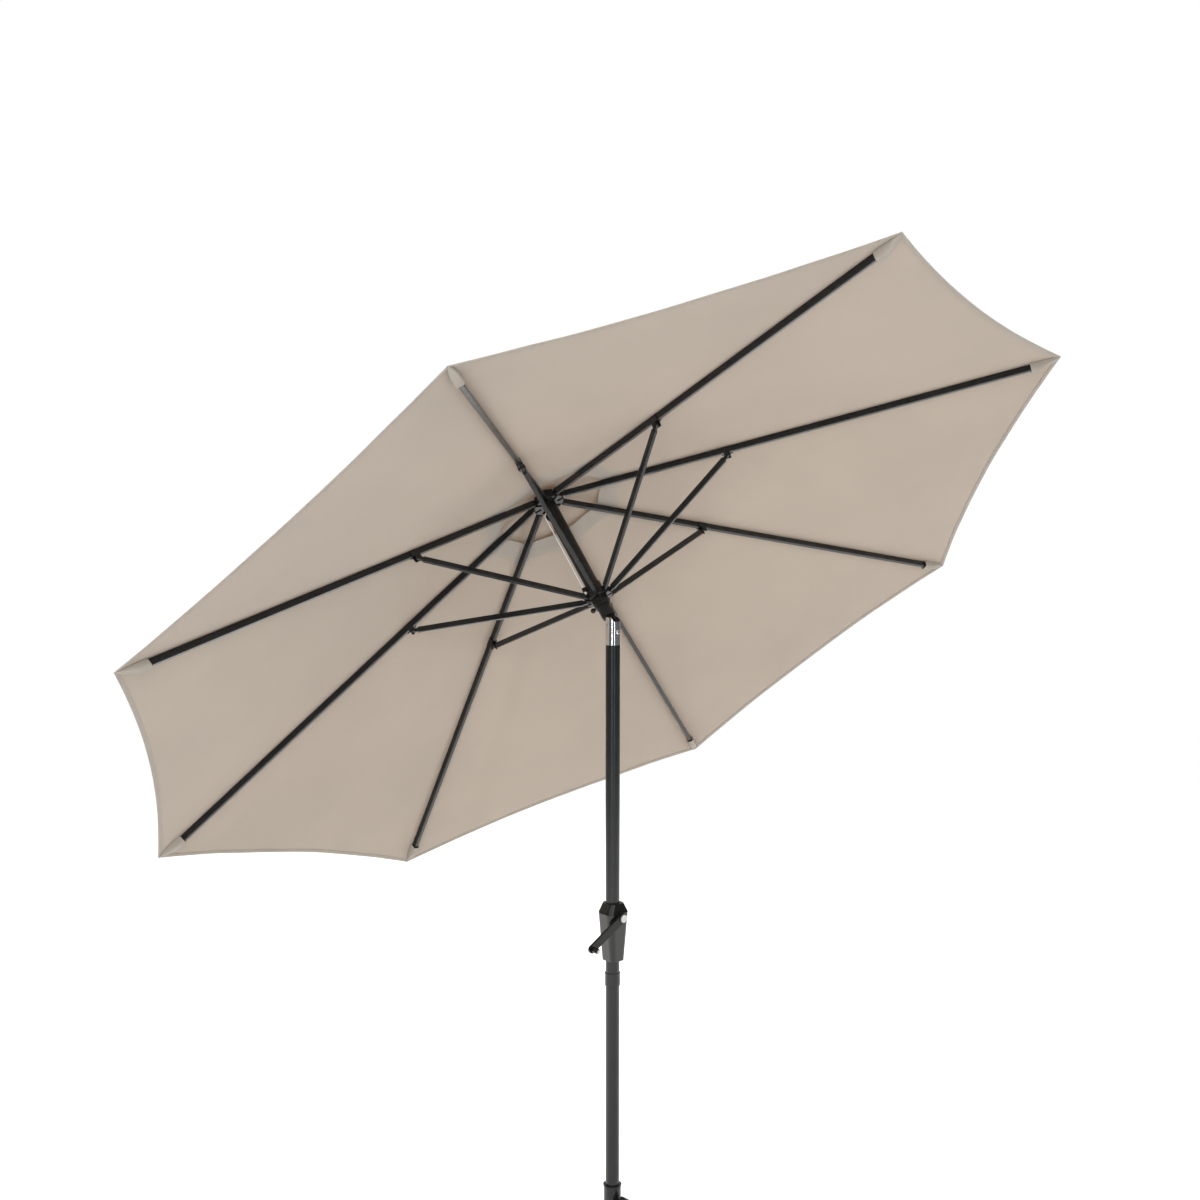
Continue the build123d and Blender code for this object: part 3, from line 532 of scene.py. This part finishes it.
def make_vent_cap():
    """Small cap over the vent opening, with eight panels of its own."""
    bm = bmesh.new()
    columns, rows = RIB_COUNT * 8, 14
    bmesh.ops.create_grid(bm, x_segments=columns, y_segments=rows, size=1.0)
    top = APEX + UP * VENT_CAP_RISE
    for vertex in bm.verts:
        turn = (vertex.co.x + 1) / 2 * RIB_COUNT
        k = int(turn) % RIB_COUNT
        w = turn - int(turn)
        t = (vertex.co.y + 1) / 2
        edge = VENT_CAP_R - VENT_CAP_SAG * 4 * w * (1 - w)
        along = VENT_HOLE_R + (edge - VENT_HOLE_R) * t
        direction = ALONG[k] * (1 - w) + ALONG[(k + 1) % RIB_COUNT] * w
        vertex.co = top + direction * along - UP * VENT_CAP_BELLY * 4 * w * (1 - w) * t
    bmesh.ops.remove_doubles(bm, verts=bm.verts, dist=0.00005)
    bmesh.ops.recalc_face_normals(bm, faces=bm.faces)
    if sum((f.normal.dot(UP) for f in bm.faces)) < 0:
        bmesh.ops.reverse_faces(bm, faces=bm.faces)
    obj = mesh_object("vent_cover", bm, MATERIALS["canopy"])
    uv = obj.data.uv_layers.new(name="panel")
    hem = obj.data.attributes.new("from_hem", "FLOAT", "POINT")
    rib = obj.data.attributes.new("from_rib", "FLOAT", "POINT")
    for vertex in obj.data.vertices:
        offset = vertex.co - top
        flat = offset - UP * offset.dot(UP)
        reach = flat.length
        turn = max(flat.dot(o) for o in OUT) / max(reach, 1e-6)
        angle = atan2((max(0.0, 1 - turn * turn)) ** 0.5, turn)
        # distance from the cap's seams, read by the cloth material for its painted shade band
        rib.data[vertex.index].value = reach * sin(angle) + 0.006
        limit = VENT_CAP_R * cos(RIB_SLOPE) * cos(HALF_PANEL) / cos(HALF_PANEL - angle)
        hem.data[vertex.index].value = limit - reach
    for loop in obj.data.loops:
        offset = obj.data.vertices[loop.vertex_index].co - top
        uv.data[loop.index].uv = (offset.dot(OUT[0]), offset.dot(OUT[2]))
    area = close_cloth(obj.data, -CLOTH_T)
    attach(obj, "mast")
    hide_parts("vent_cap")


# ---------------------------------------------------------------- stage, lights and camera
def make_stage():
    """Round pale floor that fades away before its edge."""
    bm = bmesh.new()
    bmesh.ops.create_circle(bm, cap_ends=True, segments=96, radius=FLOOR_R)
    material, tree, shader = new_material("studio_floor")
    tint = noise_value(tree, object_coords(tree), 0.6, 2.0, 0.5)
    link(tree, ramp(tree, tint, [(0.2, (0.90, 0.90, 0.90)), (0.8, (0.93, 0.93, 0.93))]),
         shader.inputs["Base Color"])
    shader.inputs["Roughness"].default_value = 0.9
    clear = tree.nodes.new("ShaderNodeBsdfTransparent")
    reach = tree.nodes.new("ShaderNodeVectorMath")
    reach.operation = "LENGTH"
    link(tree, object_coords(tree), reach.inputs[0])
    fade = tree.nodes.new("ShaderNodeMapRange")
    fade.interpolation_type = "SMOOTHERSTEP"
    fade.inputs["From Min"].default_value = FLOOR_R * 0.4
    fade.inputs["From Max"].default_value = FLOOR_R * 0.97
    link(tree, reach.outputs["Value"], fade.inputs["Value"])
    mix = tree.nodes.new("ShaderNodeMixShader")
    link(tree, fade.outputs["Result"], mix.inputs[0])
    link(tree, shader.outputs[0], mix.inputs[1])
    link(tree, clear.outputs[0], mix.inputs[2])
    out = next(n for n in tree.nodes if n.type == "OUTPUT_MATERIAL")
    link(tree, mix.outputs[0], out.inputs[0])
    floor = mesh_object("studio_floor", bm, material)


def area_light(name, place, target, size, power, colour):
    data = bpy.data.lights.new(name, "AREA")
    data.shape = "DISK"
    data.size = size
    data.energy = power
    data.color = colour
    light = bpy.data.objects.new(name, data)
    light.location = place
    light.rotation_mode = "QUATERNION"
    light.rotation_quaternion = (Vector(target) - Vector(place)).to_track_quat("-Z", "Y")
    light.visible_glossy = False
    bpy.context.scene.collection.objects.link(light)
    return light


def strip_light(name, azimuth, power):
    """A tall narrow light that draws one line along every black tube and plated part."""
    side = radians(azimuth)
    place = (STRIP_AWAY * cos(side), STRIP_AWAY * sin(side), 1.9)
    light = area_light(name, place, (0, 0, 1.9), 0.30, power, (0.95, 0.98, 1.0))
    light.data.shape = "RECTANGLE"
    light.data.size_y = 4.0
    light.visible_glossy = True


def make_world():
    """The camera sees plain white. The reflections see bands: bright above and below, dark between."""
    world = bpy.data.worlds.new("studio")
    world.use_nodes = True
    tree = world.node_tree
    backdrop = tree.nodes["Background"]
    backdrop.inputs["Color"].default_value = (1.0, 1.0, 1.0, 1.0)
    around = tree.nodes.new("ShaderNodeBackground")
    place = tree.nodes.new("ShaderNodeSeparateXYZ")
    link(tree, tree.nodes.new("ShaderNodeTexCoord").outputs["Generated"], place.inputs[0])
    bands = [(0.0, 1.15), (0.28, 0.95), (0.43, 0.10), (0.56, 0.07), (0.72, 1.05), (1.0, 1.5)]
    height = maths(tree, "MULTIPLY_ADD", place.outputs[2], 0.5)
    height.node.inputs[2].default_value = 0.5
    link(tree, ramp(tree, height, [(at, (v, v, v)) for at, v in bands]), around.inputs["Color"])
    seen = tree.nodes.new("ShaderNodeLightPath")
    mix = tree.nodes.new("ShaderNodeMixShader")
    link(tree, seen.outputs["Is Camera Ray"], mix.inputs[0])
    link(tree, around.outputs[0], mix.inputs[1])
    link(tree, backdrop.outputs[0], mix.inputs[2])
    link(tree, mix.outputs[0], tree.nodes["World Output"].inputs["Surface"])
    bpy.context.scene.world = world
    bpy.context.scene.view_settings.view_transform = "Standard"


def make_lights():
    area_light("key", (-4.5, -5.0, 4.2), (0, 0.2, 1.9), 3.0, 270, (1.0, 0.985, 0.96))
    area_light("fill", (4.5, -4.0, 1.6), (0, 0.2, 1.6), 3.5, 90, (0.96, 0.98, 1.0))
    area_light("over", (1.0, 3.5, 6.0), (0, 0.7, 1.9), 3.0, 440, (1.0, 0.95, 0.88))
    strip_light("strip_left", -144.0, 42)
    strip_light("strip_right", -104.0, 26)


def make_camera():
    """Stands to the left of the crank, a little above the tilt joint, and looks slightly down."""
    distance, rise = 4.489, 0.636
    stand = radians(-130.56)
    heading = radians(49.87)
    dip = radians(7.29)
    data = bpy.data.cameras.new("camera")
    data.sensor_width = 36.0
    data.lens = 51.9
    data.clip_end = 200.0
    camera = bpy.data.objects.new("camera", data)
    camera.location = PIVOT + Vector((distance * cos(stand), distance * sin(stand), rise))
    look = Vector((cos(heading) * cos(dip), sin(heading) * cos(dip), -sin(dip)))
    camera.rotation_mode = "QUATERNION"
    camera.rotation_quaternion = look.to_track_quat("-Z", "Y")
    bpy.context.scene.collection.objects.link(camera)
    bpy.context.scene.camera = camera


make_camera()
finish_cad_nodes()
make_canopy()
make_vent_cap()
make_stage()
make_world()
make_lights()
